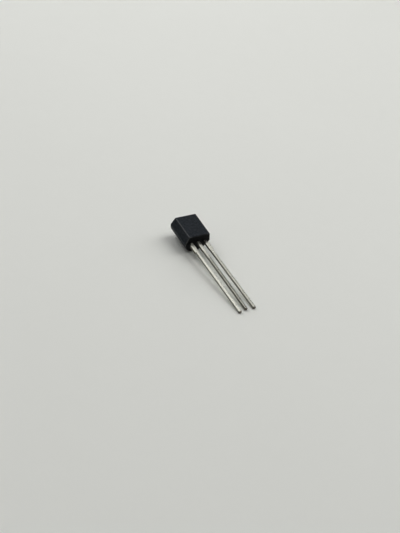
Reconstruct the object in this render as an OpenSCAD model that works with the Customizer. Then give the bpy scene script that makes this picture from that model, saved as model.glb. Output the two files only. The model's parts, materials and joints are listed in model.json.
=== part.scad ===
// TO-92 transistor: a moulded body round three stamped leads, a die on the
// collector's paddle and two bond wires. It lies as it comes to rest: flat up,
// on the lead end of its round back and on the tips of its leads.
//
// Each piece is drawn in the package's own axes: X across the leads, Y from the
// lead tips to the top end, Z out of the flat, with Y = 0 at the lead end and
// Z = 0 in the middle of the leads, where the two mould halves part.

/* [Moulded body] */
// Length along the leads, at the parting plane
body_length = 4.70; // [4.3:0.01:4.8]
// Width at the parting plane
body_width = 4.48; // [4.3:0.01:4.7]
// Width of the flat front face
flat_width = 3.76; // [3.45:0.01:4.1]
// Height of the flat above the middle of the leads
flat_height = 1.32; // [1.2:0.01:1.6]
// Depth of the round back below the middle of the leads
back_depth = 2.03; // [1.95:0.01:2.2]
// Lean of the end faces, away from the parting plane, in degrees
end_draft = 4.3; // [1:0.1:7]
// Radius of the two long edges beside the flat
flat_edge_radius = 0.12; // [0.05:0.01:0.25]

/* [Mould marks] */
// Diameter of the ejector pin's recess in the back
ejector_diameter = 1.55; // [1.2:0.05:1.6]
// Depth of the recess below the back's highest line
ejector_depth = 0.22; // [0.1:0.01:0.38]
// Distance of the recess from the lead end
ejector_from_lead_end = 2.75; // [1.5:0.05:3.2]
// Width of the broken gate on the top end
gate_width = 0.90; // [0.4:0.05:1.2]
// Height of the broken gate
gate_height = 0.28; // [0.1:0.01:0.4]
// How far the broken gate stands out
gate_stub = 0.05; // [0.02:0.01:0.1]

/* [Leads] */
// Distance between neighbouring leads
lead_pitch = 1.27; // [1.25:0.01:1.29]
// Length of the leads outside the body
lead_length = 14.22; // [12.7:0.01:15]
// How much further than that the emitter lead was cut
emitter_extra = 0.12; // [-0.2:0.01:0.2]
// How much further than that the base lead was cut
base_extra = -0.14; // [-0.2:0.01:0.2]
// How much further than that the collector lead was cut
collector_extra = 0.02; // [-0.2:0.01:0.2]
// Width of a lead, across the flat
lead_width = 0.46; // [0.38:0.01:0.55]
// Thickness of the sheet that the leads are stamped from
lead_thickness = 0.40; // [0.36:0.01:0.51]
// Sideways drift of the emitter's tip
emitter_drift = 0.14; // [-0.3:0.01:0.3]
// Sideways drift of the base's tip
base_drift = 0.09; // [-0.3:0.01:0.3]
// Sideways drift of the collector's tip
collector_drift = 0.22; // [-0.3:0.01:0.3]

/* [Cut tie bar] */
// Distance from the body to the stubs that the cut tie bar leaves
stub_start = 0.55; // [0.4:0.01:0.8]
// Length of the stubs along the leads
stub_length = 1.35; // [0.8:0.01:1.6]
// How far a stub stands out on the outer side of an outer lead
outer_stub = 0.20; // [0.05:0.01:0.3]
// How far a stub stands out on a side that faces another lead
inner_stub = 0.06; // [0.02:0.01:0.15]
// Length of the slope at each end of a stub
stub_slope = 0.12; // [0.05:0.01:0.3]

/* [Die and bonds] */
// Side of the square silicon die
die_side = 0.45; // [0.3:0.01:0.6]
// Thickness of the die
die_thickness = 0.20; // [0.1:0.01:0.25]
// Thickness of the die attach under it
attach_thickness = 0.03; // [0.02:0.01:0.05]
// How far the die attach's fillet spreads past the die
attach_spread = 0.05; // [0.02:0.01:0.08]
// Diameter of the bond wires
wire_diameter = 0.04; // [0.03:0.01:0.05]
// Diameter of the ball bonds and of the stitch bonds
bond_diameter = 0.10; // [0.08:0.01:0.12]
// Height of a ball bond
ball_height = 0.03; // [0.02:0.01:0.04]
// Straight rise of a wire above its ball
wire_rise = 0.08; // [0.05:0.01:0.15]
// Radius of a wire's bend at the top of its loop
wire_bend = 0.07; // [0.05:0.01:0.12]

/* [Hidden] */

epoxy_black = [0.15, 0.16, 0.17];
tin_plate = [0.80, 0.80, 0.77];
silicon_grey = [0.35, 0.36, 0.42];
silver_paste = [0.62, 0.60, 0.58];
gold = [0.86, 0.68, 0.30];

// Body
half_width = body_width / 2;
half_flat = flat_width / 2;
// The back is an arc through both parting edges and its lowest line
back_radius = (half_width ^ 2 + back_depth ^ 2) / (2 * back_depth);
back_centre_z = back_radius - back_depth;
front_lean = flat_height * tan(end_draft);
back_lean = back_depth * tan(end_draft);
// Angle of the sides beside the flat, from the vertical
side_angle = atan((half_width - half_flat) / flat_height);
edge_arc_steps = 6;
// How far a cutting shape reaches past what it cuts
spare = 1;

// Leads: x of each, and where each one's pad lies inside the body
emitter_x = -lead_pitch;
base_x = 0;
collector_x = lead_pitch;
emitter_tip = [emitter_drift, emitter_extra];
base_tip = [base_drift, base_extra];
collector_tip = [collector_drift, collector_extra];
stub_end = stub_start + stub_length;
lead_top_z = lead_thickness / 2;
emitter_pad = [[-1.64, 1.90], [-0.98, 3.35]];
base_pad = [[-0.50, 0.80], [0.50, 1.58]];
paddle = [[-0.58, 2.02], [1.64, 3.80]];
lock_hole_diameter = 0.42;
lock_hole = [1.15, 2.95];
lock_notch_diameter = 0.24;
lock_notch_y = 0.42;
// How far a neck runs on into its pad, so that the two are one piece
neck_overlap = 0.25;

// Die and bonds
die_centre = [0.12, 2.86];
die_bottom_z = lead_top_z + attach_thickness;
die_top_z = die_bottom_z + die_thickness;
emitter_bond = die_centre + [-0.10, 0.08];
base_bond = die_centre + [0.06, -0.11];
emitter_stitch = [-1.27, 2.94];
base_stitch = [-0.02, 1.22];
wire_r = wire_diameter / 2;
bond_r = bond_diameter / 2;
stitch_height = 0.02;
stitch_length = 0.10;
wire_sides = 10;
bend_steps = 8;

// Rest: the tilt that brings the back's lead end and the lead tips to the floor
longest_lead = lead_length + max(emitter_extra, base_extra, collector_extra);
rest_tilt = atan((back_depth - lead_top_z) / (longest_lead + back_lean));
floor_z = back_lean * sin(rest_tilt) - back_depth * cos(rest_tilt);
far_y = (body_length - back_lean) * cos(rest_tilt) + back_depth * sin(rest_tilt);
near_y = -longest_lead * cos(rest_tilt) - lead_top_z * sin(rest_tilt);

$fn = 96;

// Puts the package's own axes where it rests, with the origin under its middle
module at_rest() {
    translate([0, -(far_y + near_y) / 2, -floor_z])
        rotate([rest_tilt, 0, 0])
            children();
}

// ---- Moulded body ----

// Points round the edge between the flat and one side; side is 1 or -1
function flat_edge(side) =
    let (
        turn = 90 - side_angle,
        setback = flat_edge_radius * tan(turn / 2),
        centre = [half_flat - setback, flat_height - flat_edge_radius]
    )
    [for (i = [0 : edge_arc_steps])
        let (a = 90 - turn * i / edge_arc_steps)
        [
            side * (centre.x + flat_edge_radius * cos(a)),
            centre.y + flat_edge_radius * sin(a)
        ]
    ];

function reversed(points) =
    [for (i = [len(points) - 1 : -1 : 0]) points[i]];

// The section across the leads: flat front with leaning sides, round back
module body_section() {
    polygon(concat(
        flat_edge(1),
        [[half_width, 0], [-half_width, 0]],
        reversed(flat_edge(-1))
    ));
    intersection() {
        translate([0, back_centre_z])
            circle(r = back_radius);
        translate([-half_width, -back_depth - spare])
            square([body_width, back_depth + spare]);
    }
}

// The outline seen from the side, with draft on both ends
module body_side_outline() {
    polygon([
        [0, 0],
        [front_lean, flat_height],
        [body_length - front_lean, flat_height],
        [body_length, 0],
        [body_length - back_lean, -back_depth],
        [back_lean, -back_depth]
    ]);
}

module body_block() {
    intersection() {
        translate([0, body_length, 0])
            rotate([90, 0, 0])
                linear_extrude(body_length)
                    body_section();
        translate([-half_width - spare, 0, 0])
            rotate([90, 0, 90])
                linear_extrude(body_width + 2 * spare)
                    body_side_outline();
    }
}

module broken_gate() {
    translate([-gate_width / 2, body_length - gate_height, -gate_height])
        cube([gate_width, gate_height + gate_stub, gate_height]);
}

module ejector_recess() {
    translate([0, ejector_from_lead_end, -back_depth - spare])
        cylinder(d = ejector_diameter, h = spare + ejector_depth);
}

module epoxy_body_shape() {
    difference() {
        union() {
            body_block();
            broken_gate();
        }
        ejector_recess();
        emitter_lead_shape();
        base_lead_shape();
        collector_lead_shape();
        die_attach_shape();
        silicon_die_shape();
        emitter_bond_wire_shape();
        base_bond_wire_shape();
    }
}

module epoxy_body() {
    color(epoxy_black)
        at_rest()
            epoxy_body_shape();
}

// ---- Leads ----

// One edge of a lead from its tip to the body, with the stub of the cut tie bar;
// tip is how far the tip has drifted sideways and how much longer the lead is
function lead_edge(x, tip, side, stub) =
    let (edge = side * lead_width / 2)
    [
        [x + tip.x + edge, -lead_length - tip.y],
        [x + edge, -stub_end - stub_slope],
        [x + edge + side * stub, -stub_end],
        [x + edge + side * stub, -stub_start],
        [x + edge, -stub_start + stub_slope]
    ];

// The lead outside the body and its neck inside, up to neck_y
module lead_shank(x, tip, left_stub, right_stub, neck_y) {
    half = lead_width / 2;
    polygon(concat(
        lead_edge(x, tip, 1, right_stub),
        [[x + half, neck_y], [x - half, neck_y]],
        reversed(lead_edge(x, tip, -1, left_stub))
    ));
}

module pad_outline(corners) {
    translate(corners[0])
        square(corners[1] - corners[0]);
}

// Notches on both sides of a neck, which lock it in the moulding
module lock_notches(x) {
    for (side = [-1, 1])
        translate([x + side * lead_width / 2, lock_notch_y])
            circle(d = lock_notch_diameter);
}

module stamped() {
    translate([0, 0, -lead_thickness / 2])
        linear_extrude(lead_thickness)
            children();
}

module emitter_lead_shape() {
    stamped()
        difference() {
            union() {
                lead_shank(emitter_x, emitter_tip, outer_stub, inner_stub, emitter_pad[0].y + neck_overlap);
                pad_outline(emitter_pad);
            }
            lock_notches(emitter_x);
        }
}

module base_lead_shape() {
    stamped()
        difference() {
            union() {
                lead_shank(base_x, base_tip, inner_stub, inner_stub, base_pad[0].y + neck_overlap);
                pad_outline(base_pad);
            }
            lock_notches(base_x);
        }
}

module collector_lead_shape() {
    stamped()
        difference() {
            union() {
                lead_shank(collector_x, collector_tip, inner_stub, outer_stub, paddle[0].y + neck_overlap);
                pad_outline(paddle);
            }
            lock_notches(collector_x);
            translate(lock_hole)
                circle(d = lock_hole_diameter);
        }
}

module emitter_lead() {
    color(tin_plate)
        at_rest()
            emitter_lead_shape();
}

module base_lead() {
    color(tin_plate)
        at_rest()
            base_lead_shape();
}

module collector_lead() {
    color(tin_plate)
        at_rest()
            collector_lead_shape();
}

// ---- Die and bonds ----

module die_attach_shape() {
    half_top = die_side / 2;
    half_foot = half_top + attach_spread;
    // Two crossed bars of one sloping section make a low frustum
    translate([die_centre.x, die_centre.y, lead_top_z])
        intersection_for (turn = [0, 90])
            rotate([90, 0, turn])
                linear_extrude(2 * half_foot, center = true)
                    polygon([
                        [-half_foot, 0],
                        [half_foot, 0],
                        [half_top, attach_thickness],
                        [-half_top, attach_thickness]
                    ]);
}

module silicon_die_shape() {
    translate([die_centre.x - die_side / 2, die_centre.y - die_side / 2, die_bottom_z])
        cube([die_side, die_side, die_thickness]);
}

// One ring of a wire that runs in an upright plane: how far along, how high, how
// far the wire has turned from straight up, and its half width and half thickness
function wire_ring(ball, heading, ring) =
    [for (i = [0 : wire_sides - 1])
        let (
            angle = 360 * i / wire_sides,
            across = ring[3] * cos(angle),
            out = ring[4] * sin(angle),
            along = ring[0] - out * cos(ring[2]),
            high = max(ring[1] + out * sin(ring[2]), lead_top_z)
        )
        [
            ball.x + along * cos(heading) - across * sin(heading),
            ball.y + along * sin(heading) + across * cos(heading),
            high
        ]];

// The rings of a squashed ball and the straight rise above it
function ball_rings() = [
    [0, die_top_z, 0, 0.9 * bond_r, 0.9 * bond_r],
    [0, die_top_z + 0.4 * ball_height, 0, bond_r, bond_r],
    [0, die_top_z + ball_height, 0, 0.8 * bond_r, 0.8 * bond_r],
    [0, die_top_z + 1.5 * ball_height, 0, wire_r, wire_r]
];

// The rings round the bend at the top of the loop
function bend_rings(bend_z, turn) =
    [for (i = [0 : bend_steps])
        let (a = turn * i / bend_steps)
        [wire_bend * (1 - cos(a)), bend_z + wire_bend * sin(a), a, wire_r, wire_r]];

// The rings of the stitch, pressed flat on the lead, up to its far end
function stitch_rings(span) = [
    [span - stitch_length, lead_top_z + wire_r, 90, wire_r, wire_r],
    [span - stitch_length / 2, lead_top_z + stitch_height / 2, 90, 0.9 * bond_r, stitch_height],
    [span, lead_top_z + stitch_height / 4, 90, bond_r, stitch_height / 2]
];

function wire_faces(count) = concat(
    [[for (i = [0 : wire_sides - 1]) i]],
    [for (r = [0 : count - 2], i = [0 : wire_sides - 1])
        [r * wire_sides + i, (r + 1) * wire_sides + i, r * wire_sides + (i + 1) % wire_sides]],
    [for (r = [0 : count - 2], i = [0 : wire_sides - 1])
        [(r + 1) * wire_sides + i, (r + 1) * wire_sides + (i + 1) % wire_sides,
            r * wire_sides + (i + 1) % wire_sides]],
    [[for (i = [wire_sides : -1 : 1]) (count - 1) * wire_sides + i % wire_sides]]
);

// A ball bond, a short rise, a bend and a straight run down to a stitch bond
module bond_wire(ball, stitch) {
    span = norm(stitch - ball);
    heading = atan2(stitch.y - ball.y, stitch.x - ball.x);
    bend_z = die_top_z + ball_height + wire_rise;
    // From the bend's centre to the run's end, and the turn whose tangent ends there
    reach = [span - stitch_length - wire_bend, lead_top_z + wire_r - bend_z];
    run = sqrt(norm(reach) ^ 2 - wire_bend ^ 2);
    turn = 90 - atan2(reach.y, reach.x) + atan(wire_bend / run);
    rings = concat(ball_rings(), bend_rings(bend_z, turn), stitch_rings(span));
    polyhedron(
        points = [for (ring = rings) each wire_ring(ball, heading, ring)],
        faces = wire_faces(len(rings))
    );
}

module emitter_bond_wire_shape() {
    bond_wire(emitter_bond, emitter_stitch);
}

module base_bond_wire_shape() {
    bond_wire(base_bond, base_stitch);
}

module silicon_die() {
    color(silicon_grey)
        at_rest()
            silicon_die_shape();
}

module die_attach() {
    color(silver_paste)
        at_rest()
            die_attach_shape();
}

module emitter_bond_wire() {
    color(gold)
        at_rest()
            emitter_bond_wire_shape();
}

module base_bond_wire() {
    color(gold)
        at_rest()
            base_bond_wire_shape();
}

epoxy_body();
emitter_lead();
base_lead();
collector_lead();
silicon_die();
die_attach();
emitter_bond_wire();
base_bond_wire();
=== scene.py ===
"""A TO-92 transistor lying flat side up on a pale table.

The three leads and the moulded body are grown by Geometry Nodes, the leads from drawn
stations and the body from its drawn section. The chip, its paste and its bond wires stay
as the frame has them and get their finish here. The body has a cavity for each of the
seven pieces that it is moulded round. Sizes are in millimetres in the package's own axes:
X across the leads, Y from the lead tips to the top end, Z out of the flat, from the point
where the middle lead leaves the body. The last nodes of each tree set the piece down, in
metres.
"""

import json
import math

import bpy
from mathutils import Matrix, Quaternion, Vector


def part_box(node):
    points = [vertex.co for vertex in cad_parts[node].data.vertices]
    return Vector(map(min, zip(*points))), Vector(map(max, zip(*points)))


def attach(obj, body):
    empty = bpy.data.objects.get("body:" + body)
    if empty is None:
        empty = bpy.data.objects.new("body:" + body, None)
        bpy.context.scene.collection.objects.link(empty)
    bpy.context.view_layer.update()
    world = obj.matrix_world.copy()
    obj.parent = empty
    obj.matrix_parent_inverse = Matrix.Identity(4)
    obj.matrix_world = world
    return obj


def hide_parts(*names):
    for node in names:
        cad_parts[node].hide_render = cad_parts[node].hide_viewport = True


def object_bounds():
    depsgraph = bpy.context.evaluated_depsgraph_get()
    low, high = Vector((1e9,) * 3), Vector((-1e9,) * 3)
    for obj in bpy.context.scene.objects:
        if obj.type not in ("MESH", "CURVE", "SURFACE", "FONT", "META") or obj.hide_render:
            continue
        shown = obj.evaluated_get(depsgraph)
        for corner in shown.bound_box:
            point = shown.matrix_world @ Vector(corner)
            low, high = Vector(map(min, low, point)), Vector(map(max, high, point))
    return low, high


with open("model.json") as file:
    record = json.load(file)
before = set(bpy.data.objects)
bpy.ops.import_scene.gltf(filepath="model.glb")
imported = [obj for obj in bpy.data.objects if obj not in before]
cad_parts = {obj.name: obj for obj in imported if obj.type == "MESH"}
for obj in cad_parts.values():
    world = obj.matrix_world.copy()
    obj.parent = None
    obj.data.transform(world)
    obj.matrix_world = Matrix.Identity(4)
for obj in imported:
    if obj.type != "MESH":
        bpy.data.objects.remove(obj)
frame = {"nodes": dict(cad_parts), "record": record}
cad_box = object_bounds()

MM = 0.001
QUARTER = math.pi / 2

# Moulded body
BODY_LENGTH = 4.70
FLAT_WIDTH = 3.76
FLAT_HEIGHT = 1.32
BACK_DEPTH = 2.03
END_DRAFT = math.radians(4.3)
FLAT_EDGE_RADIUS = 0.12
END_EDGE_RADIUS = 0.09

# How far the edge wear and its painted highlight reach in from an edge, and how many times narrower they are
# at the end rims
WEAR_AND_HIGHLIGHT_REACH = 0.12
RIM_SHARPNESS = 1.8

# Mould marks
FLASH_HEIGHT = 0.016
FLASH_THICKNESS = 0.035
FLASH_STEP = 0.06
EJECTOR_DIAMETER = 1.55
EJECTOR_DEPTH = 0.22
EJECTOR_FROM_LEAD_END = 2.75
GATE_WIDTH = 0.90
GATE_HEIGHT = 0.28
GATE_STUB = 0.05
TURNING_PITCH = 0.045

# Leads; a pad is given by its left and lower corner and its right and upper one
LEAD_PITCH = 1.27
LEAD_WIDTH = 0.46
LEAD_THICKNESS = 0.40
LEAD_EDGE_RADIUS = 0.07
STATION_STEP = 0.16
STUB_START = 0.55
STUB_LENGTH = 1.35
STUB_SLOPE = 0.12
OUTER_STUB = 0.20
INNER_STUB = 0.06
NOTCH_RADIUS = 0.12
NOTCH_AT = 0.42
TWIST_STARTS = -1.9
TWIST_ENDS = -5.0
WAVINESS = 0.022
WAVES_PER_MM = 0.45
WAVES_START = -0.4
WAVES_FULL = -1.2
LOCK_HOLE_DIAMETER = 0.42
LOCK_HOLE_AT = (1.15, 2.95)
EMITTER_PAD = ((-1.64, 1.90), (-0.98, 3.35))
BASE_PAD = ((-0.50, 0.80), (0.50, 1.58))
PADDLE = ((-0.58, 2.02), (1.64, 3.80))

# Chip
FINGER_PITCH = 0.05
FINGERS_REACH = 0.185

# Table, and where it fades into the wall, measured from the package
TABLE_HALF_WIDTH = 3000
FADE_STARTS = 125
FADE_ENDS = 235

# Points nearer to each other than this are one point
WELD_DISTANCE = 0.0004


# ---- Where the package lies ----

def mount(name):
    """A mount of the frame: its place in metres and its direction."""
    found = next(m for m in frame["record"]["mounts"] if m["name"] == name)
    return Vector(found["pos_m"]), Vector(found["axis"])


def resting_place():
    """The tilt of the package about X, and where its own zero point lies, in metres."""
    flat_middle, flat_normal = mount("front_flat")
    tilt = math.atan2(-flat_normal.y, flat_normal.z)
    middle_of_flat = Vector((0, BODY_LENGTH / 2, FLAT_HEIGHT)) * MM
    return tilt, flat_middle - Matrix.Rotation(tilt, 3, "X") @ middle_of_flat


rest_tilt, rest_origin = resting_place()
body_low, body_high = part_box("epoxy_body")
half_body = (body_high.x - body_low.x) / 2 / MM


def in_package(point):
    """A point of the frame, in millimetres in the package's own axes."""
    return Matrix.Rotation(-rest_tilt, 3, "X") @ (point - rest_origin) / MM


# ---- Node trees ----

class Graph:
    """Adds nodes to one tree and feeds their sockets with values, sockets or nodes."""

    def __init__(self, tree):
        self.tree = tree

    def feed(self, socket, value):
        """Links a socket or a node's first output to a socket, or sets a plain value on it."""
        if isinstance(value, bpy.types.Node):
            value = value.outputs[0]
        if isinstance(value, bpy.types.NodeSocket):
            self.tree.links.new(value, socket)
        else:
            socket.default_value = value

    def add(self, kind, feeds=None, **settings):
        node = self.tree.nodes.new(kind)
        for name, value in settings.items():
            setattr(node, name, value)
        for key, value in (feeds or {}).items():
            self.feed(node.inputs[key], value)
        return node

    def math(self, operation, *values, clamp=False):
        feeds = dict(enumerate(values))
        return self.add("ShaderNodeMath", feeds, operation=operation, use_clamp=clamp).outputs[0]

    def vector(self, operation, *values):
        node = self.add("ShaderNodeVectorMath", dict(enumerate(values)), operation=operation)
        return node.outputs["Value" if operation in ("DOT_PRODUCT", "LENGTH") else "Vector"]

    def scaled(self, vector, factor):
        node = self.add("ShaderNodeVectorMath", {0: vector, "Scale": factor}, operation="SCALE")
        return node.outputs["Vector"]

    def split(self, vector):
        return self.add("ShaderNodeSeparateXYZ", {0: vector}).outputs

    def join(self, x, y, z):
        return self.add("ShaderNodeCombineXYZ", {0: x, 1: y, 2: z}).outputs[0]

    def blend(self, factor, start, end):
        """A number between two others."""
        node = self.add("ShaderNodeMix", {0: factor, 2: start, 3: end}, data_type="FLOAT")
        return node.outputs[0]

    def colour(self, factor, first, second):
        """A colour between two others."""
        node = self.add("ShaderNodeMix", {0: factor, 6: first, 7: second}, data_type="RGBA")
        return node.outputs[2]

    def remap(self, value, low, high, to_low=0.0, to_high=1.0):
        """Eases from one number to another while the value goes from low to high."""
        node = self.add(
            "ShaderNodeMapRange",
            {"Value": value, "From Min": low, "From Max": high, "To Min": to_low, "To Max": to_high},
            interpolation_type="SMOOTHSTEP",
        )
        return node.outputs[0]

    def noise(self, place, scale, detail=2.0, roughness=0.5):
        node = self.add(
            "ShaderNodeTexNoise",
            {"Vector": place, "Scale": scale, "Detail": detail, "Roughness": roughness},
        )
        return node.outputs[0]


SOCKETS = {
    "geometry": "NodeSocketGeometry",
    "collection": "NodeSocketCollection",
    "number": "NodeSocketFloat",
    "count": "NodeSocketInt",
    "vector": "NodeSocketVector",
    "material": "NodeSocketMaterial",
}


def new_tree(name, kind, takes, gives):
    """An empty tree with named inputs and outputs, each given as its name and its sort."""
    tree = bpy.data.node_groups.new(name, kind)
    for direction, sockets in (("INPUT", takes), ("OUTPUT", gives)):
        for label, sort in sockets.items():
            tree.interface.new_socket(label, in_out=direction, socket_type=SOCKETS[sort])
    graph = Graph(tree)
    return graph, graph.add("NodeGroupInput").outputs, graph.add("NodeGroupOutput")


# ---- Geometry Nodes: what the trees share ----

def position(graph):
    """Where each point of the geometry is."""
    return graph.add("GeometryNodeInputPosition")


def whole_steps(graph, coordinate, last):
    """Which row a point of a grid is in, from its place between -0.5 and 0.5."""
    return graph.math("ROUND", graph.math("MULTIPLY", graph.math("ADD", coordinate, 0.5), last))


def wrapped_grid(graph, columns, rings):
    """A grid whose last column lies on its first, with each point's column and ring."""
    last_ring = graph.math("SUBTRACT", rings, 1)
    grid = graph.add(
        "GeometryNodeMeshGrid",
        {"Size X": 1.0, "Size Y": 1.0, "Vertices X": graph.math("ADD", columns, 1), "Vertices Y": rings},
    )
    place = graph.split(position(graph))
    column = graph.math("MODULO", whole_steps(graph, place[0], columns), columns)
    return grid.outputs["Mesh"], column, whole_steps(graph, place[1], last_ring)


def sampled(graph, drawn, value, index, sort="FLOAT"):
    """What a drawn mesh holds at one of its points."""
    return graph.add(
        "GeometryNodeSampleIndex",
        {"Geometry": drawn, "Value": value, "Index": index},
        data_type=sort,
        clamp=True,
    )


def attribute(graph, label, sort="FLOAT"):
    return graph.add("GeometryNodeInputNamedAttribute", {"Name": label}, data_type=sort)


def keep(graph, geometry, label, value):
    """Stores a mask on the points, for the material to read."""
    feeds = {"Geometry": geometry, "Name": label, "Value": value}
    return graph.add("GeometryNodeStoreNamedAttribute", feeds)


def united(graph, *parts):
    """Closed parts made into one closed mesh."""
    node = graph.add("GeometryNodeMeshBoolean", operation="UNION", solver="MANIFOLD")
    for part in parts:
        graph.feed(node.inputs[1], part)
    return node


def carved(graph, block, cutter):
    """A closed block with a closed cutter taken out of it."""
    feeds = {0: block, 1: cutter}
    return graph.add("GeometryNodeMeshBoolean", feeds, operation="DIFFERENCE", solver="MANIFOLD")


def lying(graph):
    """The placing of the package: from its own axes in millimetres to where it lies in metres."""
    return graph.add(
        "FunctionNodeCombineTransform",
        {"Translation": rest_origin, "Rotation": (rest_tilt, 0, 0), "Scale": (MM, MM, MM)},
    )


def moved(graph, geometry, transform):
    return graph.add("GeometryNodeTransform", {"Geometry": geometry, "Transform": transform}, mode="MATRIX")


def shifted(graph, geometry, offset):
    return graph.add("GeometryNodeTransform", {"Geometry": geometry, "Translation": offset})


def nudged(graph, geometry, offset):
    """Moves each point by an offset of its own."""
    return graph.add("GeometryNodeSetPosition", {"Geometry": geometry, "Offset": offset})


def welded(graph, geometry, distance=WELD_DISTANCE):
    return graph.add("GeometryNodeMergeByDistance", {"Geometry": geometry, "Distance": distance})


def rod(graph, diameter, depth, sides):
    """A closed cylinder that stands on its middle, along Z."""
    radius = graph.math("DIVIDE", diameter, 2.0)
    return graph.add("GeometryNodeMeshCylinder", {"Vertices": sides, "Radius": radius, "Depth": depth})


def creased(graph, geometry, degrees):
    """Smooth faces, apart from the edges that turn by more than the angle."""
    smooth = graph.add("GeometryNodeSetShadeSmooth", {"Geometry": geometry}, domain="FACE")
    turn = graph.add("GeometryNodeInputMeshEdgeAngle").outputs["Unsigned Angle"]
    sharp = graph.math("GREATER_THAN", turn, math.radians(degrees))
    return graph.add(
        "GeometryNodeSetShadeSmooth",
        {"Geometry": smooth, "Selection": sharp, "Shade Smooth": False},
        domain="EDGE",
    )


def finished(graph, geometry, material, output):
    """Sets the piece down and ends the tree."""
    placed = moved(graph, geometry, lying(graph))
    real = graph.add("GeometryNodeRealizeInstances", {"Geometry": placed})
    coated = graph.add("GeometryNodeSetMaterial", {"Geometry": real, "Material": material})
    graph.feed(output.inputs[0], coated)


def drawn_mesh(name, points, closed, numbers=None, vectors=None):
    """A chain of points with its own named numbers and vectors, which a tree reads."""
    count = len(points)
    edges = [(i, (i + 1) % count) for i in range(count if closed else count - 1)]
    mesh = bpy.data.meshes.new(name)
    mesh.from_pydata(points, edges, [])
    for label, values in (numbers or {}).items():
        mesh.attributes.new(label, "FLOAT", "POINT").data.foreach_set("value", values)
    for label, values in (vectors or {}).items():
        flat = [part for value in values for part in value]
        mesh.attributes.new(label, "FLOAT_VECTOR", "POINT").data.foreach_set("vector", flat)
    return mesh


def grown(name, mesh, tree, values):
    """A plain mesh object, made by a Geometry Nodes tree from a drawn mesh."""
    piece = bpy.data.objects.new(name, mesh)
    bpy.context.scene.collection.objects.link(piece)
    modifier = piece.modifiers.new("grow", "NODES")
    modifier.node_group = tree
    for item in tree.interface.items_tree:
        if item.in_out == "INPUT" and item.name in values:
            modifier[item.identifier] = values[item.name]
    depsgraph = bpy.context.evaluated_depsgraph_get()
    plain = bpy.data.meshes.new_from_object(
        piece.evaluated_get(depsgraph), preserve_all_data_layers=True, depsgraph=depsgraph
    )
    piece.modifiers.clear()
    piece.data = plain
    plain.name = name
    return piece


# ---- Stamped leads ----

def lead_tree():
    """Rounded rectangular rings, one for each drawn station, closed at both ends."""
    graph, given, output = new_tree(
        "Stamped lead",
        "GeometryNodeTree",
        {
            "Stations": "geometry",
            "Station count": "count",
            "Points per corner": "count",
            "Waviness": "number",
            "Twist": "number",
            "Twist starts": "number",
            "Twist ends": "number",
            "Lock hole": "vector",
            "Lock hole diameter": "number",
            "Lock hole depth": "number",
            "Finish": "material",
        },
        {"Lead": "geometry"},
    )
    stations = given["Stations"]
    columns = graph.math("MULTIPLY", given["Points per corner"], 4)
    grid, column, ring = wrapped_grid(graph, columns, given["Station count"])
    angle, side_x, side_z = corner_turn(graph, column, given["Points per corner"])
    centre = station_centre(graph, stations, ring)
    half_width = sampled(graph, stations, attribute(graph, "half_width"), ring)
    half_height = sampled(graph, stations, attribute(graph, "half_height"), ring)
    radius = sampled(graph, stations, attribute(graph, "radius"), ring)

    def from_centre(half, side, turn):
        straight = graph.math("MULTIPLY", side, graph.math("SUBTRACT", half, radius))
        return graph.math("ADD", straight, graph.math("MULTIPLY", radius, graph.math(turn, angle)))

    across = from_centre(half_width, side_x, "COSINE")
    through = from_centre(half_height, side_z, "SINE")
    from_tip = graph.math("SUBTRACT", centre[1], station_centre(graph, stations, 0)[1])
    masked = keep(graph, grid, "bare", sampled(graph, stations, attribute(graph, "bare"), ring))
    masked = keep(graph, masked, "across", graph.math("DIVIDE", across, half_width))
    masked = keep(graph, masked, "through", graph.math("DIVIDE", through, half_height))
    masked = keep(graph, masked, "from_tip", from_tip)

    # The press and the handling leave each lead a little twisted, more so away from the body
    twisted = graph.remap(centre[1], given["Twist starts"], given["Twist ends"])
    twist = graph.math("MULTIPLY", given["Twist"], twisted)
    offset = graph.add(
        "ShaderNodeVectorRotate",
        {"Vector": graph.join(across, 0.0, through), "Angle": twist},
        rotation_type="Y_AXIS",
    )
    place = graph.vector("ADD", offset, graph.join(centre[0], centre[1], 0.0))
    placed = graph.add("GeometryNodeSetPosition", {"Geometry": masked, "Position": place})
    # The grid's rows run against the corners' turn, so its faces start out pointing inwards
    closed = graph.add("GeometryNodeFlipFaces", {"Mesh": welded(graph, placed)})

    punch = rod(graph, given["Lock hole diameter"], given["Lock hole depth"], 40)
    wavy = swayed(graph, closed, given["Waviness"])
    punched = carved(graph, wavy, shifted(graph, punch, given["Lock hole"]))
    finished(graph, creased(graph, punched, 30), given["Finish"], output)
    return graph.tree


def corner_turn(graph, column, per_corner):
    """How far round its ring a point is, as an angle, and its corner's side in X and in Z."""
    corner = graph.math("FLOOR", graph.math("DIVIDE", graph.math("ADD", column, 0.5), per_corner))
    step = graph.math("SUBTRACT", column, graph.math("MULTIPLY", corner, per_corner))
    part = graph.math("DIVIDE", step, graph.math("SUBTRACT", per_corner, 1))
    angle = graph.math("MULTIPLY", graph.math("ADD", corner, part), QUARTER)
    middle_angle = graph.math("MULTIPLY", graph.math("ADD", corner, 0.5), QUARTER)
    side_x = graph.math("SIGN", graph.math("COSINE", middle_angle))
    side_z = graph.math("SIGN", graph.math("SINE", middle_angle))
    return angle, side_x, side_z


def station_centre(graph, stations, ring):
    """The middle of a drawn station, as X, Y and Z."""
    return graph.split(sampled(graph, stations, position(graph), ring, "FLOAT_VECTOR"))


def swayed(graph, lead, waviness):
    """The sheet was rolled and the strip was handled, so no face outside the body is quite true."""
    here = position(graph)
    wave = graph.add("ShaderNodeTexNoise", {"Vector": here, "Scale": WAVES_PER_MM}).outputs["Color"]
    sway = graph.scaled(graph.vector("SUBTRACT", wave, (0.5, 0.5, 0.5)), waviness)
    outside = graph.remap(graph.split(here)[1], WAVES_FULL, WAVES_START, 1.0, 0.0)
    return nudged(graph, lead, graph.scaled(sway, outside))


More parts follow.
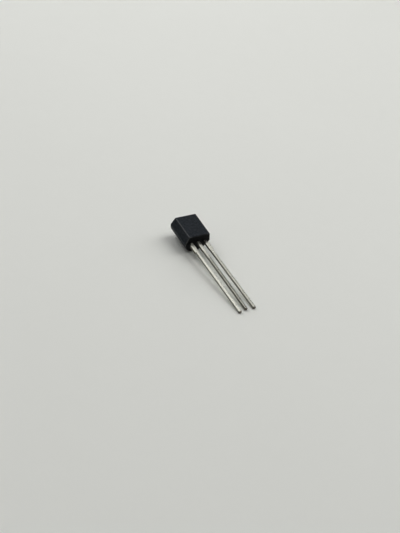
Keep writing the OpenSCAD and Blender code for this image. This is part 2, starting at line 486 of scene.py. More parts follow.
def lead_corners(x, tip, stubs, pad):
    """The corners of a lead's outline from the tip to the end of its pad: y, left edge, right edge."""
    left, right = x - LEAD_WIDTH / 2, x + LEAD_WIDTH / 2
    left_stub, right_stub = stubs
    (pad_left, pad_start), (pad_right, pad_end) = pad
    stub_end = STUB_START + STUB_LENGTH
    corners = [
        (tip.y, tip.x - LEAD_WIDTH / 2, tip.x + LEAD_WIDTH / 2),
        (-stub_end - STUB_SLOPE, left, right),
        (-stub_end, left - left_stub, right + right_stub),
        (-STUB_START, left - left_stub, right + right_stub),
        (-STUB_START + STUB_SLOPE, left, right),
    ]
    notch_steps = 8
    for i in range(notch_steps + 1):
        angle = math.pi * i / notch_steps
        bite = NOTCH_RADIUS * math.sin(angle)
        corners.append((NOTCH_AT - NOTCH_RADIUS * math.cos(angle), left + bite, right - bite))
    return corners + [
        (pad_start, left, right),
        (pad_start, pad_left, pad_right),
        (pad_end, pad_left, pad_right),
    ]


def lead_stations(corners):
    """The rings of a lead, close together, and drawn in to a point at both ends.

    Each is the X and Y of its middle, its half width, half height and corner radius, and how
    bare its metal is.
    """
    stations = []
    for corner, following in zip(corners, corners[1:]):
        steps = max(1, math.ceil((following[0] - corner[0]) / STATION_STEP))
        stations += [partway(corner, following, i / steps) for i in range(steps)]
    first, last = stations[0], corners[-1]
    stations[0] = (first[0] + LEAD_EDGE_RADIUS, first[1], first[2])
    stations.append((last[0] - LEAD_EDGE_RADIUS, last[1], last[2]))
    shank = [
        ((left + right) / 2, y, (right - left) / 2, LEAD_THICKNESS / 2, LEAD_EDGE_RADIUS, stub_cut(y))
        for y, left, right in stations
    ]
    return closing_rings(first, 1) + shank + closing_rings(last, -1)[::-1]


def partway(corner, following, part):
    """An outline's y, left edge and right edge, part of the way from one corner to the next."""
    return tuple(start + part * (end - start) for start, end in zip(corner, following))


def closing_rings(corner, inwards):
    """Rings from the middle of an end face out and round its edge, short of the full section."""
    y, left, right = corner
    centre = (left + right) / 2
    rings = [(centre, y, 0.0, 0.0, 0.0, 1.0)]
    arc_steps = 3
    for i in range(arc_steps):
        angle = QUARTER * i / arc_steps
        inset = LEAD_EDGE_RADIUS * (1 - math.sin(angle))
        along = LEAD_EDGE_RADIUS * (1 - math.cos(angle))
        rings.append((
            centre,
            y + inwards * along,
            (right - left) / 2 - inset,
            LEAD_THICKNESS / 2 - inset,
            LEAD_EDGE_RADIUS - inset,
            1.0 - 0.5 * i / arc_steps,
        ))
    return rings


def stub_cut(y):
    """1 along the stubs, where the press cut the tie bar away."""
    margin = 0.01
    return float(-STUB_START - STUB_LENGTH - margin <= y <= -STUB_START + margin)


def stamped_lead(node, pin, x, stubs, pad, twist, lock_hole, tree, finish):
    """One lead, from its mount at the tip to the end of its pad inside the body."""
    tip = in_package(mount(pin)[0])
    rings = lead_stations(lead_corners(x, tip, stubs, pad))
    centres, ys, half_widths, half_heights, radii, bare = zip(*rings)
    stations = drawn_mesh(
        node + "_stations",
        [(centre, y, 0) for centre, y in zip(centres, ys)],
        closed=False,
        numbers={"half_width": half_widths, "half_height": half_heights, "radius": radii, "bare": bare},
    )
    piece = grown(
        node + "_tinned",
        stations,
        tree,
        {
            "Station count": len(rings),
            "Points per corner": 5,
            "Waviness": WAVINESS,
            "Twist": math.radians(twist),
            "Twist starts": TWIST_STARTS,
            "Twist ends": TWIST_ENDS,
            "Lock hole": (*lock_hole, 0),
            "Lock hole diameter": LOCK_HOLE_DIAMETER,
            "Lock hole depth": 2 * LEAD_THICKNESS,
            "Finish": finish,
        },
    )
    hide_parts(node)
    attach(piece, "root")
    return piece


# ---- Moulded body ----

def section_outline():
    """The section across the leads: points, outward directions and distances from the flat's edges."""
    half_flat = FLAT_WIDTH / 2
    lean = math.atan((half_body - half_flat) / FLAT_HEIGHT)
    turn = QUARTER - lean
    setback = FLAT_EDGE_RADIUS * math.tan(turn / 2)
    arc_x, arc_z = half_flat - setback, FLAT_HEIGHT - FLAT_EDGE_RADIUS
    back_radius = (half_body**2 + BACK_DEPTH**2) / (2 * BACK_DEPTH)
    back_z = back_radius - BACK_DEPTH
    flat_steps, arc_steps, side_steps, back_steps = 24, 8, 12, 40
    right = []
    for i in range(flat_steps):
        # Closer together near the edge, so that the face shades flat right up to it
        x = arc_x * math.sin(QUARTER * (i + 0.5) / flat_steps)
        right.append((x, FLAT_HEIGHT, QUARTER, arc_x - x))
    for i in range(arc_steps + 1):
        angle = QUARTER - turn * i / arc_steps
        x = arc_x + FLAT_EDGE_RADIUS * math.cos(angle)
        right.append((x, arc_z + FLAT_EDGE_RADIUS * math.sin(angle), angle, 0.0))
    top_x, top_z = right[-1][:2]
    for i in range(1, side_steps):
        f = (1 - math.cos(math.pi * i / side_steps)) / 2
        right.append((top_x + f * (half_body - top_x), top_z * (1 - f), lean, f * top_z))
    start = math.atan2(-back_z, half_body)
    right.append((half_body, 0.0, (start + lean) / 2, top_z))
    for i in range(1, back_steps + 1):
        f = i / (back_steps + 0.5)
        angle = start + (-QUARTER - start) * f
        x = back_radius * math.cos(angle)
        right.append((x, back_z + back_radius * math.sin(angle), angle, top_z))
    left = [(-x, z, math.pi - angle, away) for x, z, angle, away in reversed(right)]
    outline = right + left
    points = [(x, 0, z) for x, z, angle, away in outline]
    outward = [(math.cos(angle), 0, math.sin(angle)) for x, z, angle, away in outline]
    return points, outward, [away for x, z, angle, away in outline]


def body_tree():
    """The drawn section run along the leads, with drafted, rounded ends and the marks of the mould."""
    graph, given, output = new_tree(
        "Moulded body",
        "GeometryNodeTree",
        {
            "Section": "geometry",
            "Section points": "count",
            "Length": "number",
            "Width": "number",
            "Draft": "number",
            "End edge radius": "number",
            "Wear and highlight reach": "number",
            "Cap rings": "count",
            "Edge rings": "count",
            "Side rings": "count",
            "Flash height": "number",
            "Flash thickness": "number",
            "Flash step": "number",
            "Gate size": "vector",
            "Ejector place": "vector",
            "Ejector diameter": "number",
            "Ejector floor": "number",
            "Inserts": "collection",
            "Finish": "material",
        },
        {"Body": "geometry"},
    )
    block = welded(graph, body_block(graph, given))
    marked = united(graph, block, flash(graph, given), gate_stub(graph, given))
    pinned = carved(graph, marked, ejector_pin(graph, given))
    moulded = carved(graph, pinned, insert_cavities(graph, given))
    masked = keep(graph, moulded, "pin_mark", on_pin_mark(graph, given))
    masked = keep(graph, masked, "gate", on_gate(graph, given))
    finished(graph, creased(graph, masked, 15), given["Finish"], output)
    return graph.tree


def body_block(graph, given):
    """Rings of the section: shrunk to a point on each end face, stepped in round each end's edge."""
    caps, edges = given["Cap rings"], given["Edge rings"]
    ends = graph.math("ADD", caps, edges)
    rings = graph.math("ADD", graph.math("MULTIPLY", ends, 2), given["Side rings"])
    grid, column, ring = wrapped_grid(graph, given["Section points"], rings)
    last = graph.math("SUBTRACT", rings, 1)
    from_end = graph.math("MINIMUM", ring, graph.math("SUBTRACT", last, ring))
    # Closer together near the rim, as on the flat
    cap_part = graph.math("DIVIDE", from_end, caps, clamp=True)
    shrink = graph.math("SINE", graph.math("MULTIPLY", cap_part, QUARTER))
    round_part = graph.math("DIVIDE", graph.math("SUBTRACT", from_end, caps), edges, clamp=True)
    angle = graph.math("MULTIPLY", round_part, QUARTER)
    radius = given["End edge radius"]
    inset = graph.math("MULTIPLY", radius, graph.math("SUBTRACT", 1.0, graph.math("SINE", angle)))
    along = graph.math("MULTIPLY", radius, graph.math("SUBTRACT", 1.0, graph.math("COSINE", angle)))

    section = given["Section"]
    point = sampled(graph, section, position(graph), column, "FLOAT_VECTOR")
    outward = sampled(graph, section, attribute(graph, "outward", "FLOAT_VECTOR"), column, "FLOAT_VECTOR")
    stepped_in = graph.vector("SUBTRACT", point, graph.scaled(outward, inset))
    flat_place = graph.split(graph.scaled(stepped_in, shrink))
    slope = graph.math("TANGENT", given["Draft"])
    lean = graph.math("MULTIPLY", graph.math("ABSOLUTE", flat_place[2]), slope)
    near = graph.math("ADD", lean, along)
    far = graph.math("SUBTRACT", given["Length"], near)
    side = graph.math("SUBTRACT", last, graph.math("MULTIPLY", ends, 2))
    way = graph.math("DIVIDE", graph.math("SUBTRACT", ring, ends), side, clamp=True)
    y = graph.blend(way, near, far)

    # Near an end's rim, or near one of the flat's two long edges
    inside_rim = graph.math("MULTIPLY", graph.math("SUBTRACT", 1.0, shrink), graph.vector("LENGTH", point))
    nearer_end = graph.math("MINIMUM", way, graph.math("SUBTRACT", 1.0, way))
    from_rim = graph.math("MAXIMUM", inside_rim, graph.math("MULTIPLY", nearer_end, given["Length"]))
    from_long_edge = sampled(graph, section, attribute(graph, "from_edge"), column)
    from_long_edge = graph.math("MAXIMUM", from_long_edge, inside_rim)
    away = graph.math("MINIMUM", graph.math("MULTIPLY", from_rim, RIM_SHARPNESS), from_long_edge)
    edge = graph.math("SUBTRACT", 1.0, graph.math("DIVIDE", away, given["Wear and highlight reach"]), clamp=True)
    return graph.add(
        "GeometryNodeSetPosition",
        {
            "Geometry": keep(graph, grid, "edge", edge),
            "Position": graph.join(flat_place[0], y, flat_place[2]),
        },
    )


def flash(graph, given):
    """The thin, uneven fin that the closed mould leaves all round its parting plane."""
    height, thickness = given["Flash height"], given["Flash thickness"]
    twice = graph.math("MULTIPLY", height, 2.0)
    outline = graph.add(
        "GeometryNodeCurvePrimitiveQuadrilateral",
        {
            "Width": graph.math("ADD", given["Width"], twice),
            "Height": graph.math("ADD", given["Length"], twice),
        },
    )
    rounded = graph.add(
        "GeometryNodeFilletCurve",
        {"Curve": outline, "Count": 8, "Radius": given["End edge radius"]},
        mode="POLY",
    )
    feeds = {"Curve": rounded, "Length": given["Flash step"]}
    dense = graph.add("GeometryNodeResampleCurve", feeds, mode="LENGTH")
    # Its edge is bitten back by an uneven part of its height
    inward = graph.scaled(graph.vector("NORMALIZE", position(graph)), -1.0)
    bite = graph.math("MULTIPLY", graph.noise(position(graph), 1.7, 3.0), height)
    ragged = nudged(graph, dense, graph.scaled(inward, bite))
    sheet = graph.add("GeometryNodeFillCurve", {"Curve": ragged}, mode="NGONS")
    raised = graph.add("GeometryNodeExtrudeMesh", {"Mesh": sheet, "Offset Scale": thickness}, mode="FACES")
    both = graph.add("GeometryNodeJoinGeometry")
    graph.feed(both.inputs[0], raised)
    graph.feed(both.inputs[0], graph.add("GeometryNodeFlipFaces", {"Mesh": sheet}))
    y = graph.math("DIVIDE", given["Length"], 2.0)
    z = graph.math("DIVIDE", thickness, -2.0)
    return shifted(graph, welded(graph, both), graph.join(0.0, y, z))


def gate_stub(graph, given):
    """What is left of the gate on the top end: a block, mostly inside the body, with a broken face."""
    size = graph.split(given["Gate size"])
    # Three quarters of it are inside the body
    depth = graph.math("MULTIPLY", size[1], 4.0)
    block = graph.add(
        "GeometryNodeMeshCube",
        {
            "Size": graph.join(size[0], depth, size[2]),
            "Vertices X": 26,
            "Vertices Y": 3,
            "Vertices Z": 10,
        },
    )
    # The break lies below the full height, by a quarter of it on average
    outer = graph.math("GREATER_THAN", graph.split(position(graph))[1], 0.01)
    rough = graph.math("SUBTRACT", graph.noise(position(graph), 9.0, 4.0, 0.7), 0.75)
    broken = graph.math("MULTIPLY", graph.math("MULTIPLY", rough, size[1]), outer)
    torn = nudged(graph, block, graph.join(0.0, broken, 0.0))
    y = graph.math("SUBTRACT", given["Length"], size[1])
    z = graph.math("DIVIDE", size[2], -2.0)
    return shifted(graph, torn, graph.join(0.0, y, z))


def ejector_pin(graph, given):
    """The pin that pushes the moulding out and leaves a round recess in the back."""
    depth = 2.0
    place = graph.split(given["Ejector place"])
    middle = graph.math("SUBTRACT", given["Ejector floor"], depth / 2)
    pin = rod(graph, given["Ejector diameter"], depth, 96)
    return shifted(graph, pin, graph.join(place[0], place[1], middle))


def insert_cavities(graph, given):
    """The pieces that the body is moulded round, closed and brought into its own axes."""
    pieces = graph.add(
        "GeometryNodeCollectionInfo", {"Collection": given["Inserts"], "Separate Children": True}
    )
    # The frame's own meshes come as loose triangles, in metres
    closed = welded(graph, pieces, WELD_DISTANCE * MM)
    return moved(graph, closed, graph.add("FunctionNodeInvertMatrix", {"Matrix": lying(graph)}))


def on_pin_mark(graph, given):
    """1 on the ejector pin's recess."""
    here = graph.split(position(graph))
    flat_place = graph.join(here[0], here[1], 0.0)
    from_pin = graph.vector("LENGTH", graph.vector("SUBTRACT", flat_place, given["Ejector place"]))
    margin = 0.003
    reach = graph.math("ADD", graph.math("DIVIDE", given["Ejector diameter"], 2.0), margin)
    on_back = graph.math("LESS_THAN", here[2], -0.5)
    return graph.math("MULTIPLY", graph.math("LESS_THAN", from_pin, reach), on_back)


def on_gate(graph, given):
    """1 on what stands out of the top end over the gate's width."""
    here = graph.split(position(graph))
    just_over_half = 0.52
    margin = 0.004
    reach = graph.math("MULTIPLY", graph.split(given["Gate size"])[0], just_over_half)
    near_gate = graph.math("LESS_THAN", graph.math("ABSOLUTE", here[0]), reach)
    past_end = graph.math("GREATER_THAN", here[1], graph.math("ADD", given["Length"], margin))
    return graph.math("MULTIPLY", near_gate, past_end)


def moulded_body(inserts, finish):
    """The body, with a cavity for each object of a collection that it is moulded round."""
    points, outward, from_edge = section_outline()
    section = drawn_mesh(
        "body_section",
        points,
        closed=True,
        numbers={"from_edge": from_edge},
        vectors={"outward": outward},
    )
    piece = grown(
        "moulded_body",
        section,
        body_tree(),
        {
            "Section points": len(points),
            "Length": BODY_LENGTH,
            "Width": 2 * half_body,
            "Draft": END_DRAFT,
            "End edge radius": END_EDGE_RADIUS,
            "Wear and highlight reach": WEAR_AND_HIGHLIGHT_REACH,
            "Cap rings": 12,
            "Edge rings": 8,
            "Side rings": 48,
            "Flash height": FLASH_HEIGHT,
            "Flash thickness": FLASH_THICKNESS,
            "Flash step": FLASH_STEP,
            "Gate size": (GATE_WIDTH, GATE_STUB, GATE_HEIGHT),
            "Ejector place": (0.0, EJECTOR_FROM_LEAD_END, 0.0),
            "Ejector diameter": EJECTOR_DIAMETER,
            "Ejector floor": EJECTOR_DEPTH - BACK_DEPTH,
            "Inserts": inserts,
            "Finish": finish,
        },
    )
    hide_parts("epoxy_body")
    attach(piece, "root")
    return piece


# ---- Shader groups: effects that several finishes share ----

def mottle_group():
    """Soft, uneven patches: 0 to 1 about a mean of a half."""
    graph, given, output = new_tree(
        "Mottle",
        "ShaderNodeTree",
        {"Place": "vector", "Size": "number", "Contrast": "number"},
        {"Shade": "number"},
    )
    broad = graph.noise(given["Place"], graph.math("DIVIDE", 1.0, given["Size"]), 4.0, 0.6)
    spread = graph.math("MULTIPLY", graph.math("SUBTRACT", broad, 0.5), given["Contrast"])
    graph.feed(output.inputs["Shade"], graph.math("ADD", 0.5, spread, clamp=True))
    return graph.tree


def grain_group():
    """A pitted surface, as a spark-eroded mould or a filled paste leaves it."""
    graph, given, output = new_tree(
        "Fine grain",
        "ShaderNodeTree",
        {"Place": "vector", "Size": "number", "Pitting": "number"},
        {"Height": "number"},
    )
    scale = graph.math("DIVIDE", 1.0, given["Size"])
    soft = graph.noise(given["Place"], scale, 3.0, 0.6)
    pits = graph.add(
        "ShaderNodeTexVoronoi",
        {"Vector": given["Place"], "Scale": graph.math("MULTIPLY", scale, 0.6), "Smoothness": 0.4},
        feature="SMOOTH_F1",
    ).outputs["Distance"]
    graph.feed(output.inputs["Height"], graph.blend(given["Pitting"], soft, pits))
    return graph.tree


def wear_group():
    """An edge mask, broken up so that it comes and goes along the edge: worn edges on the tin, worn edges
    with a painted highlight on the epoxy.
    """
    graph, given, output = new_tree(
        "Edge wear",
        "ShaderNodeTree",
        {"Place": "vector", "Edge": "number", "Size": "number", "Unevenness": "number", "Reach": "number"},
        {"Mask": "number"},
    )
    breaks = graph.noise(given["Place"], graph.math("DIVIDE", 1.0, given["Size"]), 3.0, 0.65)
    uneven = graph.math("MULTIPLY", graph.math("SUBTRACT", breaks, 0.5), given["Unevenness"])
    worn = graph.math("ADD", given["Edge"], uneven)
    start = graph.math("SUBTRACT", 1.0, given["Reach"])
    softness = 0.6
    graph.feed(output.inputs["Mask"], graph.remap(worn, start, graph.math("ADD", start, softness)))
    return graph.tree


def lines_group():
    """Fine parallel lines along Y, as rolls and drawing dies leave on metal."""
    graph, given, output = new_tree(
        "Rolling lines",
        "ShaderNodeTree",
        {"Place": "vector", "Spacing": "number", "Length": "number"},
        {"Height": "number"},
    )
    across = graph.math("DIVIDE", 1.0, given["Spacing"])
    along = graph.math("DIVIDE", 1.0, given["Length"])
    stretched = graph.vector("MULTIPLY", given["Place"], graph.join(across, along, across))
    graph.feed(output.inputs["Height"], graph.noise(stretched, 1.0, 3.0, 0.6))
    return graph.tree


mottle = mottle_group()
fine_grain = grain_group()
edge_wear = wear_group()
rolling_lines = lines_group()


# ---- Finishes ----

class Finish(Graph):
    """A material with one Principled BSDF and the package's own axes in millimetres."""

    def __init__(self, name, **constants):
        self.material = bpy.data.materials.new(name)
        self.material.use_nodes = True
        super().__init__(self.material.node_tree)
        self.tree.nodes.clear()
        self.shader = self.add("ShaderNodeBsdfPrincipled")
        for label, value in constants.items():
            self.shader.inputs[label.replace("_", " ")].default_value = value
        output = self.add("ShaderNodeOutputMaterial")
        self.tree.links.new(self.shader.outputs[0], output.inputs["Surface"])
        point = self.add("ShaderNodeTexCoord").outputs["Object"]
        self.place = self.add(
            "ShaderNodeMapping",
            {"Vector": point, "Location": rest_origin, "Rotation": (rest_tilt, 0, 0), "Scale": (MM, MM, MM)},
            vector_type="TEXTURE",
        ).outputs[0]

    def group(self, tree, **values):
        """Places a shared effect with this finish's own values."""
        node = self.add("ShaderNodeGroup", node_tree=tree)
        self.feed(node.inputs["Place"], self.place)
        for label, value in values.items():
            self.feed(node.inputs[label], value)
        return node.outputs[0]

    def mask(self, label):
        """A mask that the geometry carries."""
        return self.add("ShaderNodeAttribute", attribute_name=label).outputs["Fac"]

    def bump(self, height, depth, under=None):
        """Raises the surface by a height of 0 to 1 times a depth in millimetres."""
        feeds = {"Height": height, "Distance": depth * MM}
        if under:
            feeds["Normal"] = under
        return self.add("ShaderNodeBump", feeds).outputs[0]

    def surface(self, **feeds):
        """Feeds the shader's sockets and gives the finished material."""
        for label, value in feeds.items():
            self.feed(self.shader.inputs[label.replace("_", " ")], value)
        return self.material


def moulded_epoxy():
    """Charcoal epoxy with the mould's fine grain, worn edges that also carry a painted highlight, painted
    shade over the lead end, a turned pin mark and a torn gate.
    """
    finish = Finish("moulded_epoxy", IOR=1.5, Specular_IOR_Level=0.20, Coat_Roughness=0.22)
    pin, gate = finish.mask("pin_mark"), finish.mask("gate")
    x, y, _ = finish.split(finish.place)
    lead_end = finish.remap(y, 0.16, 0.32, 1.0, 0.0)
    patches = finish.group(mottle, Size=0.32, Contrast=3.4)
    flecks = finish.group(mottle, Size=0.09, Contrast=2.2)
    edge = finish.mask("edge")
    rim = finish.group(edge_wear, Edge=edge, Size=0.20, Unevenness=1.5, Reach=0.55)
    # Between its corners, the rim over the leads gets little of the edge wear and of the painted highlight
    between = finish.remap(finish.math("ABSOLUTE", x), 1.1, 1.8, 1.0, 0.0)
    rim_over_leads = finish.math("MULTIPLY", finish.remap(y, 0.20, 0.75, 1.0, 0.0), between)
    worn = finish.math("MULTIPLY", rim, finish.blend(rim_over_leads, 1.0, 0.15))
    grain = finish.group(fine_grain, Size=0.05, Pitting=0.45)
    ripple = finish.group(mottle, Size=0.5, Contrast=1.0)

    charcoal = finish.colour(patches, (0.0095, 0.0135, 0.0190, 1), (0.0270, 0.0330, 0.0405, 1))
    speckled = finish.colour(finish.remap(flecks, 0.62, 0.95, 0.0, 0.5), charcoal, (0.050, 0.056, 0.064, 1))
    # Painted shade: near black over the end face that the leads leave, where the body's shade falls close to
    # the floor
    shaded_at_lead_end = finish.colour(finish.math("MULTIPLY", lead_end, 0.85), speckled, (0.0020, 0.0022, 0.0025, 1))
    # Lighter edges: partly wear, partly a painted highlight along the flat's long edges
    worn_and_highlit_edges = finish.colour(finish.math("MULTIPLY", worn, 0.6), shaded_at_lead_end, (0.062, 0.067, 0.071, 1))
    crumbled = finish.colour(flecks, (0.018, 0.019, 0.020, 1), (0.085, 0.085, 0.086, 1))
    torn = finish.colour(gate, worn_and_highlit_edges, crumbled)

    dull = finish.blend(lead_end, finish.blend(patches, 0.50, 0.40), 0.65)
    polished = finish.blend(worn, dull, 0.34)
    shined = finish.blend(pin, polished, 0.27)
    roughness = finish.blend(gate, shined, 0.75)

    from_middle = finish.vector("SUBTRACT", finish.place, (0, EJECTOR_FROM_LEAD_END, 0))
    from_axis = finish.vector("LENGTH", finish.vector("MULTIPLY", from_middle, (1, 1, 0)))
    turning = finish.math("SINE", finish.math("MULTIPLY", from_axis, 2 * math.pi / TURNING_PITCH))
    pin_lines = finish.math("ADD", 0.5, finish.math("MULTIPLY", turning, 0.12))
    skin = finish.blend(gate, finish.blend(pin, grain, pin_lines), finish.math("MULTIPLY", flecks, 4.0))
    waved = finish.bump(ripple, 0.010)
    return finish.surface(
        Base_Color=torn,
        Roughness=roughness,
        Coat_Weight=finish.math("MULTIPLY", worn, 0.85),
        Normal=finish.bump(skin, 0.007, waved),
    )


def tin_plate():
    """Bright tin over stamped sheet: rolling lines, dull patches, resin at the body, bare cut ends, and
    painted shade on the flanks and at the tips.
    """
    finish = Finish("tin_plate", IOR=2.0)
    bare, across, through = finish.mask("bare"), finish.mask("across"), finish.mask("through")
    edge = finish.remap(finish.math("ABSOLUTE", finish.math("MULTIPLY", across, through)), 0.55, 0.8)
    flank = finish.remap(finish.math("ABSOLUTE", across), 0.93, 0.99)
    patches = finish.group(mottle, Size=0.9, Contrast=2.4)
    specks = finish.group(mottle, Size=0.12, Contrast=2.6)
    worn = finish.group(edge_wear, Edge=edge, Size=0.3, Unevenness=0.8, Reach=0.6)
    lines = finish.group(rolling_lines, Spacing=0.035, Length=2.5)
    grain = finish.group(fine_grain, Size=0.03, Pitting=0.2)
    place = finish.split(finish.place)

    bright = finish.colour(patches, (0.705, 0.703, 0.630, 1), (0.845, 0.842, 0.770, 1))
    streaked = finish.colour(finish.remap(lines, 0.35, 0.7), bright, (0.785, 0.783, 0.705, 1))
    stained = finish.colour(finish.remap(specks, 0.75, 1.0, 0.0, 0.35), streaked, (0.48, 0.475, 0.42, 1))
    thin = finish.colour(finish.math("MULTIPLY", worn, 0.30), stained, (0.60, 0.585, 0.50, 1))
    ragged = finish.math("ADD", through, finish.math("MULTIPLY", finish.math("SUBTRACT", specks, 0.5), 0.25))
    fracture = finish.remap(ragged, 0.05, -0.05)
    # Darker flanks: partly sheared metal, partly painted shade, as each flank mirrors the shaded floor
    # beside the lead
    side = finish.colour(fracture, (0.37, 0.368, 0.335, 1), (0.26, 0.257, 0.232, 1))
    plated_with_shaded_flanks = finish.colour(flank, thin, side)
    bleed = finish.math("ADD", finish.remap(place[1], -0.42, -0.05), finish.math("SUBTRACT", patches, 0.9))
    resin = finish.colour(finish.math("MULTIPLY", bleed, 0.7, clamp=True), plated_with_shaded_flanks, (0.10, 0.095, 0.085, 1))
    normal = finish.split(finish.add("ShaderNodeNewGeometry").outputs["Normal"])
    upright = finish.math("LESS_THAN", finish.math("ABSOLUTE", normal[2]), 0.55)
    cut_face = finish.math("MULTIPLY", finish.remap(bare, 0.7, 0.95), upright)
    # Darker within a quarter millimetre of the tip: partly bare cut metal, partly painted shade where the
    # tip meets the floor
    dragged_and_shaded_tip = finish.remap(finish.mask("from_tip"), 0.10, 0.26, 0.9, 0.0)
    cut = finish.math("MAXIMUM", cut_face, dragged_and_shaded_tip)
    cut_and_shaded = finish.colour(cut, resin, (0.20, 0.185, 0.155, 1))

    dull = finish.blend(patches, 0.34, 0.24)
    scuffed = finish.blend(worn, dull, 0.42)
    broken = finish.blend(flank, scuffed, finish.blend(fracture, 0.36, 0.55))
    roughness = finish.blend(cut, broken, 0.55)
    rolled = finish.bump(lines, 0.0020)
    skin = finish.bump(finish.blend(cut_face, grain, 0.5), 0.0028, rolled)
    return finish.surface(
        Base_Color=cut_and_shaded, Metallic=finish.blend(cut, 1.0, 0.9), Roughness=roughness, Normal=skin
    )


def silicon():
    """A polished chip: fine metal fingers inside a bare margin, and the saw's lines."""
    finish = Finish("chip_silicon", IOR=3.4)
    low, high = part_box("silicon_die")
    middle = in_package((low + high) / 2)
    local = finish.split(finish.vector("SUBTRACT", finish.place, middle))
    fingers = finish.math("SINE", finish.math("MULTIPLY", local[0], 2 * math.pi / FINGER_PITCH))
    across, along = finish.math("ABSOLUTE", local[0]), finish.math("ABSOLUTE", local[1])
    inside = finish.math("LESS_THAN", finish.math("MAXIMUM", across, along), FINGERS_REACH)
    metal = finish.math("MULTIPLY", finish.remap(fingers, -0.2, 0.2), inside)
    shade = finish.group(mottle, Size=0.2, Contrast=1.4)
    sawn = finish.group(rolling_lines, Spacing=0.012, Length=0.3)
    ground = finish.colour(shade, (0.17, 0.18, 0.22, 1), (0.24, 0.25, 0.30, 1))
    colour = finish.colour(metal, ground, (0.72, 0.72, 0.70, 1))
    return finish.surface(
        Base_Color=colour,
        Metallic=finish.blend(metal, 0.55, 1.0),
        Roughness=finish.blend(metal, 0.12, 0.3),
        Normal=finish.bump(sawn, 0.001),
    )


def silver_paste():
    """Cured paste full of silver flakes: matt, grainy, a little tarnished."""
    finish = Finish("silver_paste", Metallic=0.85)
    shade = finish.group(mottle, Size=0.06, Contrast=2.0)
    flakes = finish.group(fine_grain, Size=0.015, Pitting=0.7)
    colour = finish.colour(shade, (0.42, 0.40, 0.37, 1), (0.66, 0.64, 0.61, 1))
    return finish.surface(
        Base_Color=colour, Roughness=finish.blend(shade, 0.62, 0.45), Normal=finish.bump(flakes, 0.004)
    )


def gold_wire():
    """Drawn gold: smooth, with the faint lines of the drawing die and slightly duller patches."""
    finish = Finish("gold_wire", Metallic=1.0)
    shade = finish.group(mottle, Size=0.15, Contrast=1.6)
    drawn = finish.group(rolling_lines, Spacing=0.006, Length=0.2)
    colour = finish.colour(shade, (0.74, 0.50, 0.17, 1), (0.90, 0.67, 0.27, 1))
    return finish.surface(
        Base_Color=colour, Roughness=finish.blend(shade, 0.28, 0.18), Normal=finish.bump(drawn, 0.0006)
    )


def table_top(wall):
    """A pale, slightly uneven matt board, which fades into the wall's colour far from the object."""
    finish = Finish("table_top", Roughness=0.6, Specular_IOR_Level=0.25, Emission_Strength=1.0)
    broad = finish.group(mottle, Size=40.0, Contrast=0.8)
    fine = finish.group(mottle, Size=3.0, Contrast=1.0)
    shade = finish.blend(0.3, broad, fine)
    far = finish.remap(finish.vector("LENGTH", finish.place), FADE_STARTS, FADE_ENDS)
    board = finish.colour(shade, (0.775, 0.782, 0.745, 1), (0.81, 0.816, 0.78, 1))
    camera_ray = finish.add("ShaderNodeLightPath").outputs["Is Camera Ray"]
    return finish.surface(
        Base_Color=finish.colour(far, board, (0, 0, 0, 1)),
        Emission_Color=finish.colour(finish.math("MULTIPLY", far, camera_ray), (0, 0, 0, 1), (*wall, 1)),
    )


# ---- The pieces ----

# A lead without a lock hole has it punched well clear of the metal
NO_HOLE = (0, 50)

# Node, mount at the tip, X, how far its two stubs stand out, pad, twist in degrees, lock hole
LEADS = (
    ("emitter_lead", "emitter_pin", -LEAD_PITCH, (OUTER_STUB, INNER_STUB), EMITTER_PAD, -8, NO_HOLE),
    ("base_lead", "base_pin", 0.0, (INNER_STUB, INNER_STUB), BASE_PAD, 15, NO_HOLE),
    ("collector_lead", "collector_pin", LEAD_PITCH, (INNER_STUB, OUTER_STUB), PADDLE, 6, LOCK_HOLE_AT),
)
tinned = tin_plate()
stamping = lead_tree()
inserts = bpy.data.collections.new("inserts")
for lead in LEADS:
    inserts.objects.link(stamped_lead(*lead, stamping, tinned))
for node in ("silicon_die", "die_attach", "emitter_bond_wire", "base_bond_wire"):
    inserts.objects.link(frame["nodes"][node])
moulded_body(inserts, moulded_epoxy())
bpy.data.collections.remove(inserts)

gold = gold_wire()
for node, finish in {
    "silicon_die": silicon(),
    "die_attach": silver_paste(),
    "emitter_bond_wire": gold,
    "base_bond_wire": gold,
}.items():
    mesh = frame["nodes"][node].data
    mesh.materials.clear()
    mesh.materials.append(finish)


# ---- Table, light and camera ----

def table(wall):
    half = TABLE_HALF_WIDTH * MM
    corners = [(-half, -half, 0), (half, -half, 0), (half, half, 0), (-half, half, 0)]
    mesh = bpy.data.meshes.new("table")
    mesh.from_pydata(corners, [], [(0, 1, 2, 3)])
    mesh.materials.append(table_top(wall))
    top = bpy.data.objects.new("table", mesh)
    bpy.context.scene.collection.objects.link(top)


def surroundings(seen, lighting):
    """A nearly dark studio, with a wall behind the table that only the camera sees."""
    world = bpy.data.worlds.new("studio")
    world.use_nodes = True
    graph = Graph(world.node_tree)
    camera_ray = graph.add("ShaderNodeLightPath").outputs["Is Camera Ray"]
    graph.feed(
        world.node_tree.nodes["Background"].inputs["Color"],
        graph.colour(camera_ray, (*lighting, 1), (*seen, 1)),
    )
    bpy.context.scene.world = world


def soft_box(name, azimuth, elevation, distance, size, power):
    """A square lamp that faces the object; azimuth 0 is towards -Y and 90 towards +X."""
    lamp = bpy.data.lights.new(name, "AREA")
    lamp.size = size
    lamp.energy = power
    holder = bpy.data.objects.new(name, lamp)
    outward = from_angles(azimuth, elevation)
    holder.location = outward * distance
    holder.rotation_mode = "QUATERNION"
    holder.rotation_quaternion = (-outward).to_track_quat("-Z", "Y")
    holder.visible_camera = False
    bpy.context.scene.collection.objects.link(holder)


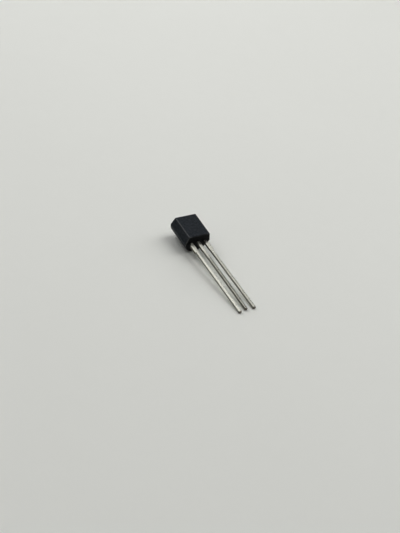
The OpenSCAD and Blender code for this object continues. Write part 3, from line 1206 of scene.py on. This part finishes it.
def from_angles(azimuth, elevation):
    """The direction of an azimuth and an elevation in degrees, of length 1."""
    a, e = math.radians(azimuth), math.radians(elevation)
    return Vector((math.sin(a) * math.cos(e), -math.cos(a) * math.cos(e), math.sin(e)))


def camera(azimuth, elevation, roll, distance, aim, focal_length):
    """A camera that looks at a point; its angles are a lamp's, and then it rolls about its view."""
    lens = bpy.data.cameras.new("camera")
    lens.sensor_width = 36
    lens.lens = focal_length
    lens.clip_start = 0.001
    lens.clip_end = 10
    holder = bpy.data.objects.new("camera", lens)
    outward = from_angles(azimuth, elevation)
    holder.location = aim + outward * distance
    holder.rotation_mode = "QUATERNION"
    level = (-outward).to_track_quat("-Z", "Y")
    holder.rotation_quaternion = level @ Quaternion((0, 0, 1), math.radians(roll))
    bpy.context.scene.collection.objects.link(holder)
    bpy.context.scene.camera = holder


# Name, azimuth and elevation in degrees, distance and size in metres, power in watts
LAMPS = (
    ("key", 70, 70, 0.42, 0.20, 0.42),
    ("key_right", 88, 52, 0.42, 0.18, 0.23),
    ("key_low", 72, 38, 0.42, 0.18, 0.08),
    ("right_low", 90, 22, 0.42, 0.21, 0.24),
    ("left", -110, 45, 0.65, 0.40, 0.22),
    ("left_low", -90, 18, 0.65, 0.30, 0.19),
    ("far_left", -150, 50, 0.48, 0.36, 0.56),
    ("far_left_core", -150, 50, 0.48, 0.20, 0.33),
    ("far_low", -165, 18, 0.55, 0.28, 0.30),
    ("far_high", 165, 62, 0.42, 0.23, 0.14),
    ("far_right_low", 150, 12, 0.55, 0.28, 0.49),
    ("far_right_high", 130, 45, 0.65, 0.30, 0.17),
)
wall = (0.60, 0.60, 0.575)
table(wall)
surroundings(wall, (0.02, 0.02, 0.02))
for lamp in LAMPS:
    soft_box(*lamp)
object_middle = (cad_box[0] + cad_box[1]) / 2
camera(
    azimuth=-42.73,
    elevation=37.67,
    roll=15.92,
    distance=0.15147,
    aim=Vector((object_middle.x - 1.11 * MM, object_middle.y + 1.57 * MM, 0)),
    focal_length=67.54,
)
bpy.context.scene.view_settings.view_transform = "Standard"
bpy.context.scene.view_settings.gamma = 0.85
